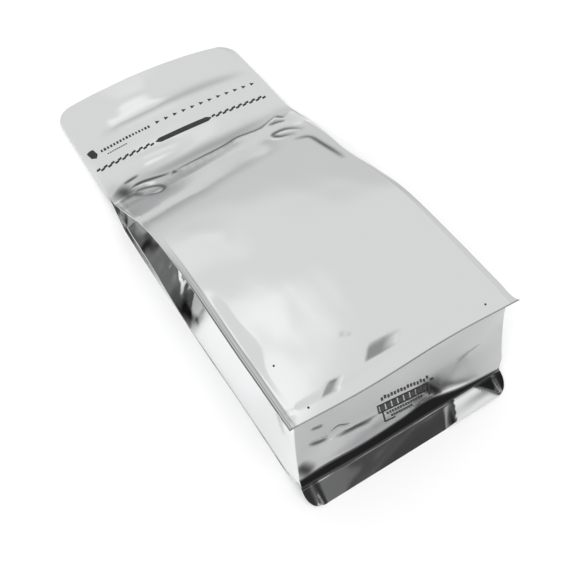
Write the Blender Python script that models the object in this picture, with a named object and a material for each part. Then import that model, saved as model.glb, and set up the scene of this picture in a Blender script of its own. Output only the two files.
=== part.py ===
"""A flat-bottom pouch of metallised film, shut, lying on its back with its sealed flap to +Y.

Lengths are metres, +Z is up, and the origin is on the floor under the middle of the bounding box.
"""

import math

import bmesh
import bpy
import numpy as np

# Overall sizes
WIDTH = 0.115
FRONT_LENGTH = 0.262
BACK_FIN_REACH = 0.018
FULL_WIDTH_OF_BACK = 0.1196
BOTTOM_HEIGHT = 0.060
FLAP_START = 0.186
MIDDLE_Y = (FRONT_LENGTH - BACK_FIN_REACH) / 2

# Seals
FILM = 0.0009
SIDE_FIN = 0.003
SIDE_FIN_DROOP = 0.0004
FRONT_FIN = 0.0023
BACK_FIN = 0.0088
RIDGE_HEIGHT = 0.0056
TOP_CORNER_RADIUS = 0.0115

# Heights of the two long edges of the front panel above the floor, at distances from the bottom seal
LEFT_EDGE = ((0, 0.0600), (0.040, 0.0556), (0.090, 0.0515), (0.116, 0.0455), (0.138, 0.0360),
             (0.160, 0.0205), (0.180, 0.0080), (0.200, 0.0026), (0.262, 0.0012))
RIGHT_EDGE = ((0, 0.0592), (0.047, 0.0550), (0.080, 0.0504), (0.102, 0.0432), (0.130, 0.0324),
              (0.161, 0.0216), (0.186, 0.0120), (0.215, 0.0070), (0.262, 0.0022))

# Side gussets: half of the folded panel, the most that it folds inwards, and where the fold starts
GUSSET_HALF = 0.0305
GUSSET_MOST = 0.021
GUSSET_GROWS_OVER = 0.050

# Rise of the middle of the front above its edges: on the body, on the shoulder and at the top of the flap
BODY_CROWN = 0.0022
SHOULDER_CROWN = 0.0040
FLAP_ARCH = 0.0072

# Mesh counts
COLUMNS = 20
GUSSET_STEPS = 8
BACK_FIN_STEPS = 3

# Creases as middle x, middle y, angle in degrees from +X, half length, half width, height
SHOULDER_CREASE = (0.006, 0.1800, -2, 0.034, 0.0030, -0.0012)
FLAP_CREASE = (0.006, 0.2335, 2, 0.040, 0.0030, 0.0006)
LEFT_FINGERS = ((-0.042, 0.1850, 8, 0.010, 0.0022, 0.0012), (-0.043, 0.1760, -14, 0.010, 0.0022, 0.0013))
RIGHT_FINGERS = ((0.046, 0.1835, -6, 0.008, 0.0020, 0.0012), (0.043, 0.1755, 16, 0.010, 0.0022, 0.0012))


def smooth(value, low, high):
    """Zero below low, one above high, and an even curve between."""
    share = min(max((value - low) / (high - low), 0.0), 1.0)
    return share * share * (3 - 2 * share)


def through(points, at):
    """A curve without overshoot through (distance, height) points."""
    xs = np.array([point[0] for point in points])
    ys = np.array([point[1] for point in points])
    steps = np.diff(ys) / np.diff(xs)
    slopes = np.concatenate([[steps[0]], (steps[1:] + steps[:-1]) / 2, [steps[-1]]])
    i = int(np.clip(np.searchsorted(xs, at) - 1, 0, len(steps) - 1))
    width = xs[i + 1] - xs[i]
    t = (min(max(at, xs[0]), xs[-1]) - xs[i]) / width
    value = (2 * t**3 - 3 * t**2 + 1) * ys[i] + (t**3 - 2 * t**2 + t) * width * slopes[i]
    value += (3 * t**2 - 2 * t**3) * ys[i + 1] + (t**3 - t**2) * width * slopes[i + 1]
    return float(value)


def crease(x, y, shape):
    """The height at a point of one long soft fold."""
    middle_x, middle_y, angle, half_length, half_width, height = shape
    turn = math.radians(angle)
    along = (x - middle_x) * math.cos(turn) + (y - middle_y) * math.sin(turn)
    across = (y - middle_y) * math.cos(turn) - (x - middle_x) * math.sin(turn)
    return height * math.exp(-((along / half_length) ** 4) - (across / half_width) ** 2)


def corner_inset(gap, radius):
    """How far a rounded corner draws the side in, at a distance from the end."""
    if gap >= radius:
        return 0.0
    return radius - math.sqrt(radius**2 - (radius - gap) ** 2)


def front_half_width(y):
    return WIDTH / 2 - corner_inset(FRONT_LENGTH - y, TOP_CORNER_RADIUS)


def back_half_width(y):
    """The back panel is widest beside the gusset fold, and as wide as the front from the flap on."""
    narrow = WIDTH / 2 * 0.970
    wide = narrow + (FULL_WIDTH_OF_BACK / 2 - narrow) * smooth(y, 0.0, 0.150)
    return wide + (front_half_width(y) - wide) * smooth(y, 0.160, FLAP_START)


def front_height(x, y):
    """The upper surface of the front panel and of the flap."""
    share = min(max(x / WIDTH + 0.5, 0.0), 1.0)
    left = through(LEFT_EDGE, y)
    right = through(RIGHT_EDGE, y)
    crown = BODY_CROWN * smooth(y, 0.0, 0.050)
    crown += (SHOULDER_CROWN - BODY_CROWN) * smooth(y, 0.090, 0.150)
    crown += (FLAP_ARCH - SHOULDER_CROWN) * smooth(y, 0.165, 0.225)
    height = left + (right - left) * share + crown * (1 - (2 * share - 1) ** 2)
    for shape in (SHOULDER_CREASE, FLAP_CREASE) + LEFT_FINGERS + RIGHT_FINGERS:
        height += crease(x, y, shape)
    return height


def back_height(x, y):
    """The under surface: flat on the floor, up to the ridge at one end and to the flap at the other."""
    ridge = (RIDGE_HEIGHT - FILM) * (1 - smooth(y, BACK_FIN - BACK_FIN_REACH, 0.006))
    closing = smooth(y, 0.163, FLAP_START)
    return ridge + closing * (front_height(x, y) - FILM)


def column_x(column, half_width):
    """Column 0 and the last are the free edges of the seals, and the next ones are their roots."""
    if column == 0:
        return -half_width
    if column == COLUMNS:
        return half_width
    inner = half_width - SIDE_FIN
    return -inner + 2 * inner * (column - 1) / (COLUMNS - 2)


def station_list():
    """Distances along the front panel of the rows of the mesh, from the bottom seal to the top edge."""
    body = np.linspace(FRONT_FIN, 0.100, 11)
    shoulder = np.linspace(0.100, FLAP_START, 15)[1:]
    flap = np.linspace(FLAP_START, FRONT_LENGTH - TOP_CORNER_RADIUS, 10)[1:]
    arc = [FRONT_LENGTH - TOP_CORNER_RADIUS * (1 - math.sin(math.radians(a))) for a in (22, 45, 66, 90)]
    return [0.0, *body, *shoulder, *flap, *arc]


def back_station(y):
    """The row of the back panel that belongs to a row of the front: the bottom end leans outwards."""
    shift = FRONT_FIN + BACK_FIN_REACH - BACK_FIN
    return y - shift * max(0.0, 1 - (y - FRONT_FIN) / 0.060) ** 2


def droop(column):
    return SIDE_FIN_DROOP if column in (0, COLUMNS) else 0.0


def front_point(column, y):
    x = column_x(column, front_half_width(y))
    wave = 0.0008 * math.sin(x * 70) * (1 - smooth(y, 0.0, 0.020))
    return (x, y + wave, front_height(x, y) - droop(column) * (1 - smooth(y, 0.150, 0.180)))


def back_point(column, y):
    x = column_x(column, back_half_width(y))
    return (x, y, back_height(x, y))


def fin_thickness(column, y):
    """The seal is one film thick where the bag stands open, and thins where the two panels meet."""
    x = column_x(column, front_half_width(y))
    return min(FILM, 0.3 * (front_height(x, y) - back_height(x, y)))


def raised(point, by):
    return (point[0], point[1], point[2] + by)


def gusset_depth(y, height):
    """How far the middle of the side panel folds in, from the height that it has to span."""
    folded = math.sqrt(max(GUSSET_HALF**2 - (height / 2) ** 2, 0.0))
    opening = smooth(y, FRONT_FIN, GUSSET_GROWS_OVER)
    closing = 1 - smooth(y, 0.158, FLAP_START - 0.004)
    return min(folded, GUSSET_MOST) * opening * closing


def gusset_row(column, y, top, bottom):
    """The side panel at one row, from the root of the front seal down to the root of the back one."""
    inwards = 1 if column < COLUMNS / 2 else -1
    depth = gusset_depth(y, top[2] - bottom[2])
    row = []
    for step in range(GUSSET_STEPS + 1):
        share = step / GUSSET_STEPS
        fold = depth * (1 - abs(2 * share - 1))
        x = top[0] + (bottom[0] - top[0]) * share + inwards * fold
        row.append((x, top[1] + (bottom[1] - top[1]) * share, top[2] + (bottom[2] - top[2]) * share))
    return row


def panel_bulge(x, share):
    """How far the bottom panel stands out from the straight line between its two seals."""
    right = smooth(x, -0.010, 0.045)
    inside = math.sin(math.pi * share) if 0 < share < 1 else 0.0
    swell = (0.0068 - 0.0020 * right) * inside**0.8
    fold = (0.0030 + 0.0052 * right) * math.exp(-(((share - 0.52) / 0.16) ** 2))
    return swell - fold * inside


def panel_row(step, front_root, back_root):
    """One row of the bottom panel, given the rows at its two seals."""
    share = step / GUSSET_STEPS
    row = []
    for top, bottom in zip(front_root, back_root):
        x = top[0] + (bottom[0] - top[0]) * share
        y = top[1] + (bottom[1] - top[1]) * share - panel_bulge(x, share)
        row.append((x, y, top[2] + (bottom[2] - top[2]) * share))
    return row


def back_fin_rows():
    """The rows of the seal under the bottom panel, free edge first: two lists, of upper and lower points."""
    upper = []
    lower = []
    for step in range(BACK_FIN_STEPS):
        turn = math.radians(90 * step / BACK_FIN_STEPS)
        gap = BACK_FIN * (1 - math.cos(turn))
        y = -BACK_FIN_REACH + gap
        half_width = back_half_width(0) - BACK_FIN * (1 - math.sin(turn))
        height = (RIDGE_HEIGHT - FILM) * gap / BACK_FIN
        row = [(column_x(i, half_width), y, height) for i in range(COLUMNS + 1)]
        lower.append(row)
        upper.append([raised(point, FILM) for point in row])
    return upper, lower


class Skin:
    """Collects points and faces, and joins the points that fall on the same spot."""

    def __init__(self):
        self.mesh = bmesh.new()
        self.points = {}

    def point(self, place):
        key = tuple(round(value * 1e7) for value in place)
        if key not in self.points:
            self.points[key] = self.mesh.verts.new((place[0], place[1] - MIDDLE_Y, place[2]))
        return self.points[key]

    def face(self, corners):
        found = []
        for place in corners:
            vertex = self.point(place)
            if vertex not in found:
                found.append(vertex)
        if len(found) > 2:
            self.mesh.faces.new(found)

    def sheet(self, rows):
        for first, second in zip(rows, rows[1:]):
            for i in range(len(first) - 1):
                self.face((first[i], first[i + 1], second[i + 1], second[i]))


def bag_skin():
    """The whole closed surface of the bag."""
    skin = Skin()
    stations = station_list()
    columns = range(COLUMNS + 1)
    front = [[front_point(i, y) for i in columns] for y in stations]
    back = [[back_point(i, back_station(y)) for i in columns] for y in stations[1:]]
    fin_upper, fin_lower = back_fin_rows()
    skin.sheet(front)
    skin.sheet(fin_lower + back)
    skin.sheet([front[-1], back[-1]])
    skin.sheet([fin_upper[0], fin_lower[0]])

    shut = next(j for j, y in enumerate(stations) if y > FLAP_START - 1e-6)
    bands = {}
    for side, root in ((0, 1), (COLUMNS, COLUMNS - 1)):
        band = []
        for j, y in enumerate(stations[1:], 1):
            upper = front[j][side]
            lower = back[j - 1][side]
            if j >= shut:
                middle = tuple((a + b) / 2 for a, b in zip(upper, lower)) if j == shut else upper
                band.append([upper] + [middle] * (GUSSET_STEPS + 3) + [lower])
                continue
            film = fin_thickness(side, y)
            front_root = raised(front[j][root], -film)
            back_root = raised(back[j - 1][root], film)
            gusset = gusset_row(root, y, front_root, back_root)
            band.append([upper, raised(upper, -film), *gusset, raised(lower, film), lower])
        bands[side] = band

    film = [fin_thickness(i, stations[1]) for i in columns]
    front_root = [raised(front[1][i], -film[i]) for i in columns]
    front_tip = [raised(front[0][i], -film[i]) for i in columns]
    back_root = [raised(back[0][i], film[i]) for i in columns]
    inner = range(1, COLUMNS)
    panel = [panel_row(step, [front_root[i] for i in inner], [back_root[i] for i in inner])
             for step in range(GUSSET_STEPS + 1)]
    for side, end in ((0, 0), (COLUMNS, -1)):
        bands[side][0][2:-2] = [row[end] for row in panel]
        skin.sheet(bands[side])
        skin.sheet([[front[0][side], front_tip[side]], [front[1][side], front_root[side]]])
        skin.sheet([[top, bottom] for top, bottom in
                    zip([row[side] for row in fin_upper] + [back_root[side]],
                        [row[side] for row in fin_lower] + [back[0][side]])])
    skin.sheet(panel)
    skin.sheet([front[0], front_tip, front_root])
    skin.sheet(fin_upper + [back_root])
    return skin.mesh


def film_material():
    material = bpy.data.materials.new("metallised_film")
    material.use_nodes = True
    shader = material.node_tree.nodes["Principled BSDF"]
    shader.inputs["Base Color"].default_value = (0.78, 0.79, 0.80, 1)
    shader.inputs["Metallic"].default_value = 1.0
    shader.inputs["Roughness"].default_value = 0.18
    return material


def build():
    for old in list(bpy.data.objects):
        bpy.data.objects.remove(old)
    parts = bpy.data.collections.new("flat_bottom_bag")
    bpy.context.scene.collection.children.link(parts)
    mesh = bag_skin()
    bmesh.ops.recalc_face_normals(mesh, faces=mesh.faces)
    for face in mesh.faces:
        face.smooth = True
    data = bpy.data.meshes.new("foil_bag")
    mesh.to_mesh(data)
    mesh.free()
    data.materials.append(film_material())
    parts.objects.link(bpy.data.objects.new("foil_bag", data))


build()
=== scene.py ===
"""Looks of the flat-bottom bag: thin bright film with its folds, seals and printed marks.

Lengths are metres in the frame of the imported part: +Y along the bag to its top edge, +Z up.
"""

import math

import bmesh
import bpy
import numpy as np
from mathutils import Matrix, Vector


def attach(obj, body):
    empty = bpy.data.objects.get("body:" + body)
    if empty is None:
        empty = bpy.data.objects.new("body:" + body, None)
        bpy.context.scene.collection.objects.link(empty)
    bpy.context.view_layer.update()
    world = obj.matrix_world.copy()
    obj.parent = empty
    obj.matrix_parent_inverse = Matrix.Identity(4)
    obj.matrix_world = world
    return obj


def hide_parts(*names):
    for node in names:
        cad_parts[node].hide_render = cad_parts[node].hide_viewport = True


# Overall sizes. The front is 3.5 mm shorter than the solid's
WIDTH = 0.115
FLAP_WIDTH = 0.1174
FRONT_LENGTH = 0.2585
BACK_FIN_REACH = 0.018
FULL_WIDTH_OF_BACK = 0.1196
FLAP_START = 0.186
MIDDLE_Y = (FRONT_LENGTH - BACK_FIN_REACH) / 2

# Seals and film
FILM = 0.0004
FLAP_FILM = 0.0006
SIDE_FIN = 0.0032
BACK_SIDE_FIN = 0.0004
BACK_SIDE_FIN_UPPER = 0.0018
SIDE_FIN_DROOP = 0.0005
SIDE_RIB = 0.00012
FRONT_FIN = 0.0023
FRONT_TIP = 0.0018
BACK_FIN = 0.0088
BACK_FIN_CORNER = 0.0070
RIDGE_HEIGHT = 0.0058
RIDGE_HEIGHT_LEFT = 0.0095
TOP_CORNER_RADIUS = 0.0100

# Heights of the two long edges of the front panel above the floor, and the rise of its middle above them,
# at distances from the bottom seal
LEFT_EDGE = ((0, 0.0600), (0.040, 0.0556), (0.090, 0.0515), (0.116, 0.0455), (0.138, 0.0360),
             (0.160, 0.0205), (0.178, 0.0090), (0.200, 0.0052), (0.2585, 0.0024))
RIGHT_EDGE = ((0, 0.0592), (0.047, 0.0550), (0.080, 0.0504), (0.102, 0.0432), (0.130, 0.0324),
              (0.161, 0.0216), (0.186, 0.0105), (0.215, 0.0070), (0.2585, 0.0016))
CROWN = ((0, 0.0), (0.045, 0.0022), (0.090, 0.0024), (0.150, 0.0042), (0.204, 0.0030), (0.2585, 0.0058))

# The strip of the front panel that slopes down to its left seal near the bottom end: the x where it starts,
# at distances from the bottom seal, and how steeply it slopes
MARGIN_LINE = ((0, -0.0506), (0.0120, -0.0504), (0.0298, -0.0508), (0.0399, -0.0467), (0.0579, -0.0490),
               (0.0700, -0.0492), (0.2585, -0.0492))
MARGIN_SLOPE = 0.085

# Side gussets
GUSSET_HALF = 0.0305
GUSSET_MOST = 0.021
GUSSET_GROWS_OVER = 0.050

# Bottom panel: how far behind the front seal it starts, how much it leans, and over what height it then
# curves outwards. RUN_OUT says how high above the seal below it turns out to that seal, at places across.
# The last two numbers say how far its left and right sides are drawn in, a minus being outwards
PANEL_IN = 0.0023
PANEL_LEAN = 0.13
PANEL_CURVE = 0.0240
RUN_OUT = ((-0.056, 0.0035), (-0.044, 0.0040), (-0.0144, 0.0042), (0.0027, 0.0048), (0.0130, 0.0057),
           (0.0180, 0.0054), (0.0240, 0.0042), (0.0310, 0.0031), (0.0410, 0.0022), (0.0509, 0.0016),
           (0.0560, 0.0012))
RUN_OUT_SLOPE = 1.10
LEFT_END_IN = 0.0006
RIGHT_END_IN = -0.0024

# The flatter place in the seal under the bottom panel: its two sides at the free edge, how they slope to the
# ridge, and the soft step at its start
GAP_START = 0.0243
GAP_START_SLOPE = 0.0041
GAP_END = 0.0485
GAP_END_SLOPE = 0.0092
GAP_STEP = (0.0070, 0.0010)

# Mesh counts, and the places of the rows of the bottom panel and of the side gussets
FINE_COLUMNS = 50
MIDDLE_COLUMNS = 26
FIN_COLUMNS = 8
BACK_COLUMN_STEP = 4
SEAL_ROWS = 3
GUSSET_SHARES = np.concatenate([np.linspace(0, 0.72, 38), np.linspace(0.72, 0.90, 9)[1:],
                                np.linspace(0.90, 1, 12)[1:]])
GUSSET_STEPS = len(GUSSET_SHARES) - 1

# Points are welded when they round to the same place, with this many steps to the metre
WELD_FINENESS = 1e7

# Soft folds as start x, start y, end x, end y, half width, height
SOFT_FOLDS = (
    (-0.040, 0.2280, 0.050, 0.2290, 0.0034, -0.0006),
    (-0.030, 0.2430, 0.000, 0.2440, 0.0075, 0.0008),
    (-0.056, 0.2360, -0.030, 0.2380, 0.0070, 0.0006),
    (-0.042, 0.1955, -0.004, 0.1935, 0.0060, 0.0013),
    (0.012, 0.1965, 0.046, 0.1940, 0.0050, 0.0005),
    (-0.046, 0.1130, -0.028, 0.0980, 0.0070, 0.0004),
)

# Sharp creases as half width, depth, and the points that each runs through
SHOULDER_LINE = ((-0.0238, 0.1749), (-0.0152, 0.1751), (-0.0029, 0.1747), (0.0099, 0.1751), (0.0181, 0.1784),
                 (0.0242, 0.1777), (0.0330, 0.1762), (0.0398, 0.1792), (0.0466, 0.1823))
CREASES = (
    (0.0010, 0.0004, SHOULDER_LINE),
    (0.0015, 0.0005, ((-0.0478, 0.1800), (-0.0409, 0.1814), (-0.0323, 0.1783), (-0.0238, 0.1749))),
    (0.0022, 0.0004, ((-0.0238, 0.1749), (-0.0209, 0.1729))),
    (0.0019, 0.0003, ((-0.0478, 0.1670), (-0.0458, 0.1756), (-0.0404, 0.1738), (-0.0349, 0.1689),
                      (-0.0328, 0.1614), (-0.0378, 0.1585), (-0.0431, 0.1636), (-0.0478, 0.1670))),
    (0.0012, 0.0003, ((-0.0487, 0.1862), (-0.0438, 0.1869), (-0.0383, 0.1870))),
    (0.0015, 0.0003, ((0.0379, 0.1746), (0.0428, 0.1759), (0.0478, 0.1722))),
    (0.0015, 0.0002, ((0.0466, 0.1823), (0.0499, 0.1766))),
    (0.0020, 0.0003, ((0.0481, 0.1582), (0.0420, 0.1641), (0.0327, 0.1636), (0.0336, 0.1583),
                      (0.0418, 0.1560))),
    (0.0016, 0.00022, ((0.0407, 0.1500), (0.0480, 0.1485), (0.0487, 0.1396), (0.0498, 0.1273),
                       (0.0496, 0.1200))),
)

# Dents as corner x, corner y, first side x and y, second side x and y, depth, and the darkness of the painted
# dark reflection in each
DENTS = (
    (-0.0159, 0.0100, 0.0180, -0.0006, 0.0060, 0.0060, 0.0007, 0.62),
    (-0.0396, 0.0060, 0.0092, -0.0004, 0.0058, 0.0044, 0.0005, 0.55),
)

# Strokes of painted shade and painted dark reflections as half width, darkness, and the points that each runs
# through:
# on the front as (x, y) and on the bottom panel as (x, height). The first DENT_STROKES of the panel are
# dented as well, and the strokes of the last list are painted highlights, clear of the panel's general
# painted shade
PAINTED_SHADE_FRONT = (
    (0.0060, 0.90, ((-0.0540, 0.1850), (-0.0505, 0.1800), (-0.0500, 0.1700))),
    (0.0024, 0.80, ((-0.0500, 0.1790), (-0.0465, 0.1720), (-0.0445, 0.1650))),
    (0.0056, 0.34, ((-0.0480, 0.1840), (-0.0200, 0.1815), (0.0150, 0.1800), (0.0400, 0.1840))),
    (0.0032, 0.30, ((-0.0400, 0.2275), (-0.0100, 0.2288), (0.0250, 0.2292), (0.0500, 0.2285))),
    (0.0008, 0.30, ((-0.0170, 0.0262), (-0.0125, 0.0240))),
)
PAINTED_SHADE_PANEL = (
    (0.0016, 0.97, ((-0.0474, 0.0456), (-0.0405, 0.0430))),
    (0.0022, 0.99, ((-0.0488, 0.0340), (-0.0438, 0.0312), (-0.0383, 0.0297))),
    (0.0018, 0.99, ((-0.0355, 0.0268), (-0.0303, 0.0257), (-0.0241, 0.0247), (-0.0179, 0.0234),
                    (-0.0140, 0.0236))),
    (0.0010, 0.70, ((-0.0375, 0.0331), (-0.0336, 0.0349), (-0.0267, 0.0294))),
    (0.0012, 0.85, ((0.0289, 0.0275), (0.0376, 0.0330), (0.0453, 0.0340))),
    (0.0010, 0.75, ((0.0295, 0.0308), (0.0376, 0.0345))),
    (0.0060, 0.99, ((-0.0570, 0.0225), (-0.0538, 0.0200), (-0.0487, 0.0120))),
    (0.0012, 0.95, ((0.0060, 0.0112), (0.0120, 0.0128), (0.0165, 0.0126), (0.0190, 0.0112))),
)
DENT_STROKES = 4
PAINTED_HIGHLIGHTS_PANEL = (
    (0.0012, 1.00, ((0.0189, 0.0124), (0.0278, 0.0108), (0.0373, 0.0087))),
    (0.0010, 1.00, ((-0.0378, 0.0280), (-0.0372, 0.0276))),
)

# How much painted shade the lines along the front's side seals have, from their inner edge to their free edge
SEAL_LINES = (0.0, 0.50, 0.28, 0.32, 0.15, 0.58, 0.10, 0.68, 0.35)

# Print: the marks on the flap in plan, the stamp as (x, height) on the bottom panel, and the tack dots
TEAR_ROW_Y = 0.2040
ROPE_STEP = 0.0044
ARROW_START = (-0.0113, 0.2173)
ARROW_END = (0.0511, 0.2160)
ARROW_COUNT = 12
TICK_START = (-0.0474, 0.2168)
TICK_STEP = 0.0020
TICK_COUNT = 16
TAG_PLACE = (-0.0528, 0.2172)
TAG_AXES = ((0.978, 0.208, 0), (-0.208, 0.978, 0))
STAMP_CENTRE = (0.0020, 0.0217)
STAMP_ALONG = (0.9810, -0.1940)
STAMP_UP = (-0.1550, 0.9880)
DOTS = ((-0.0477, 0.0286), (-0.0459, 0.0050), (0.0449, 0.0055))
INK_LIFT = 0.00005
PANEL_INK_LIFT = 0.00015

# The rays that lay the print on the film: how far from the flat marks they start, and how far they reach
RAY_START = 0.2
RAY_LENGTH = 0.4

# Colours of bright film and of the dark film colour that painted shade blends to, of plain ink, and of the
# darkest and the most worn ink
FILM_COLOR = (0.86, 0.865, 0.87)
PAINTED_SHADE_COLOR = (0.030, 0.030, 0.033)
INK_COLOR = (0.02, 0.02, 0.022)
DARK_INK_COLOR = (0.006, 0.006, 0.007)
WORN_INK_COLOR = (0.045, 0.045, 0.048)

# The camera, fitted to the photograph
CAMERA_PLACE = (-0.1237, -0.0985 - MIDDLE_Y, 0.3614)
CAMERA_RIGHT = (0.84907, -0.52817, 0.01083)
CAMERA_UP = (0.446, 0.72765, 0.52117)
CAMERA_BACK = (-0.28315, -0.43768, 0.85339)
CAMERA_LENS = 51.11


def smooth(value, low, high):
    """Zero below low, one above high, and an even curve between."""
    share = np.clip((np.asarray(value, float) - low) / (high - low), 0.0, 1.0)
    return share * share * (3 - 2 * share)


def through(points, at):
    """A smooth curve through (distance, height) points."""
    xs = np.array([point[0] for point in points])
    ys = np.array([point[1] for point in points])
    steps = np.diff(ys) / np.diff(xs)
    slopes = np.concatenate([[steps[0]], (steps[1:] + steps[:-1]) / 2, [steps[-1]]])
    at = np.clip(np.asarray(at, float), xs[0], xs[-1])
    i = np.clip(np.searchsorted(xs, at) - 1, 0, len(steps) - 1)
    width = xs[i + 1] - xs[i]
    t = (at - xs[i]) / width
    value = (2 * t**3 - 3 * t**2 + 1) * ys[i] + (t**3 - 2 * t**2 + t) * width * slopes[i]
    return value + (3 * t**2 - 2 * t**3) * ys[i + 1] + (t**3 - t**2) * width * slopes[i + 1]


def fold_height(x, y, fold):
    """One soft fold: full height along its middle, fading at both ends."""
    x0, y0, x1, y1, half_width, height = fold
    length = math.hypot(x1 - x0, y1 - y0)
    along = ((x - x0) * (x1 - x0) + (y - y0) * (y1 - y0)) / length
    across = ((y - y0) * (x1 - x0) - (x - x0) * (y1 - y0)) / length
    middle = np.abs(along - length / 2) / (length / 2)
    return height * np.exp(-(middle**4) * 1.2 - (across / half_width) ** 2)


def distance_to_line(x, y, points):
    """The distance to a chain of points, and the share of the chain's length at the nearest place."""
    best = np.full(np.shape(x), 9.0)
    share = np.zeros(np.shape(x))
    lengths = [math.dist(a, b) for a, b in zip(points, points[1:])]
    done = 0.0
    for (x0, y0), (x1, y1), length in zip(points, points[1:], lengths):
        t = np.clip(((x - x0) * (x1 - x0) + (y - y0) * (y1 - y0)) / length**2, 0, 1)
        away = np.hypot(x - x0 - t * (x1 - x0), y - y0 - t * (y1 - y0))
        nearer = away < best
        best = np.where(nearer, away, best)
        share = np.where(nearer, (done + t * length) / sum(lengths), share)
        done += length
    return best, share


def rounded(points):
    """The same chain of points with its corners cut twice, so that it runs in a soft curve."""
    for _ in range(2):
        cut = [points[0]]
        for (x0, y0), (x1, y1) in zip(points, points[1:]):
            cut.append((0.75 * x0 + 0.25 * x1, 0.75 * y0 + 0.25 * y1))
            cut.append((0.25 * x0 + 0.75 * x1, 0.25 * y0 + 0.75 * y1))
        points = cut + [points[-1]]
    return points


def crease_strength(x, y):
    """How deep the nearest sharp crease is here, and how much shade is painted into it, from 0 to 1."""
    depth = np.zeros(np.shape(x))
    strength = np.zeros(np.shape(x))
    for half_width, most, points in CREASES:
        away, share = distance_to_line(x, y, rounded(points))
        fading = 1 - 0.7 * np.abs(2 * share - 1) ** 3
        depth = np.maximum(depth, most * np.exp(-((away / half_width) ** 1.4)) * fading)
        strength = np.maximum(strength, np.exp(-((away / half_width) ** 2)) * fading * (0.68 + 800 * most))
    return depth, np.minimum(strength, 0.92)


def painted_shade_strokes(u, v, strokes):
    """How much painted shade a set of strokes gives each point."""
    dark = np.zeros(np.shape(u))
    for half_width, darkness, points in strokes:
        away, share = distance_to_line(u, v, points)
        fading = 1 - 0.8 * np.abs(2 * share - 1) ** 4
        dark = np.maximum(dark, darkness * fading * np.exp(-((away / half_width) ** 2)))
    return dark


def dent_share(x, y, dent):
    """How far inside a dent a point is: sharp along its two sides, soft on the far ones."""
    corner_x, corner_y, first_x, first_y, second_x, second_y = dent[:6]
    area = first_x * second_y - first_y * second_x
    a = ((x - corner_x) * second_y - (y - corner_y) * second_x) / area
    b = ((y - corner_y) * first_x - (x - corner_x) * first_y) / area
    along = smooth(a, -0.02, 0.10) * (1 - smooth(a, 0.40, 1.05))
    return along * smooth(b, -0.08, 0.14) * (1 - smooth(b, 0.70, 1.15))


def noise(u, v, seed):
    """Smooth seeded noise from 0 to 1 over a plane of unit cells."""
    size = 64
    table = np.random.default_rng(seed).random((size, size))
    cell_u = np.floor(u).astype(int)
    cell_v = np.floor(v).astype(int)
    share_u = u - cell_u
    share_v = v - cell_v
    share_u = share_u * share_u * (3 - 2 * share_u)
    share_v = share_v * share_v * (3 - 2 * share_v)
    near_u, far_u = cell_u % size, (cell_u + 1) % size
    near_v, far_v = cell_v % size, (cell_v + 1) % size
    low = table[near_u, near_v] * (1 - share_u) + table[far_u, near_v] * share_u
    high = table[near_u, far_v] * (1 - share_u) + table[far_u, far_v] * share_u
    return low * (1 - share_v) + high * share_v


def ridged(u, v, seed):
    """Noise with sharp folds, from 0 to 1."""
    return 1 - np.abs(2 * noise(u, v, seed) - 1)


def corner_inset(gap, radius):
    """How far a rounded corner draws the side in, at a distance from the end."""
    gap = np.minimum(gap, radius)
    return radius - np.sqrt(radius**2 - (radius - gap) ** 2)


def front_half_width(y):
    """The front is a little wider at the flap, whose top corners are rounded."""
    half_width = WIDTH / 2 + (FLAP_WIDTH - WIDTH) / 2 * smooth(y, 0.110, FLAP_START)
    return half_width - corner_inset(FRONT_LENGTH - y, TOP_CORNER_RADIUS)


def back_half_width(y):
    """The back panel is widest beside the gusset fold, and as wide as the front from the flap on."""
    narrow = WIDTH / 2 * 0.985
    wide = narrow + (FULL_WIDTH_OF_BACK / 2 - narrow) * smooth(y, 0.0, 0.150)
    return wide + (front_half_width(y) - wide) * smooth(y, 0.160, FLAP_START)


def panel_height(x, y):
    """The front panel and the flap before any crease."""
    share = np.clip(x / WIDTH + 0.5, 0.0, 1.0)
    left = through(LEFT_EDGE, y)
    right = through(RIGHT_EDGE, y)
    height = left + (right - left) * share + through(CROWN, y) * (1 - (2 * share - 1) ** 2)
    return height - 0.0005 * (1 - smooth(y, 0.0055, 0.0095))


def calm_height(x, y):
    """The upper surface of the front panel and of the flap, before its creases and dents."""
    inside = 1 - smooth(np.abs(x) / front_half_width(y), 0.93, 0.99)
    height = panel_height(x, y)
    for fold in SOFT_FOLDS:
        height = height + fold_height(x, y, fold) * inside
    slack = noise(x / 0.026 + 3, y / 0.034, 4) - 0.5 + 0.4 * (noise(x / 0.011, y / 0.016, 9) - 0.5)
    margin = through(MARGIN_LINE, y)
    roll = np.sqrt((x - margin) ** 2 + 0.0004**2) - (x - margin)
    height = height - MARGIN_SLOPE / 2 * roll * smooth(y, 0.002, 0.008) * (1 - smooth(y, 0.066, 0.084))
    return height + 0.0006 * slack * inside * smooth(y, 0.006, 0.030)


def front_height(x, y):
    """The upper surface of the front panel and of the flap."""
    inside = 1 - smooth(np.abs(x) / front_half_width(y), 0.93, 0.99)
    dents = sum(dent[6] * dent_share(x, y, dent) for dent in DENTS)
    return calm_height(x, y) - (crease_strength(x, y)[0] + dents) * inside


def ridge_height(x):
    """The height of the ridge where the bottom panel meets the seal below it, higher at the left."""
    return RIDGE_HEIGHT + (RIDGE_HEIGHT_LEFT - RIDGE_HEIGHT) * smooth(-x, 0.018, 0.056)


def back_height(x, y):
    """The under surface: flat on the floor, up to the ridge at one end and to the flap at the other."""
    ridge = (ridge_height(x) - FILM) * (1 - smooth(y, BACK_FIN - BACK_FIN_REACH, 0.006))
    closing = smooth(y, 0.163, FLAP_START)
    return ridge + closing * (calm_height(x, y) - FLAP_FILM)


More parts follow.
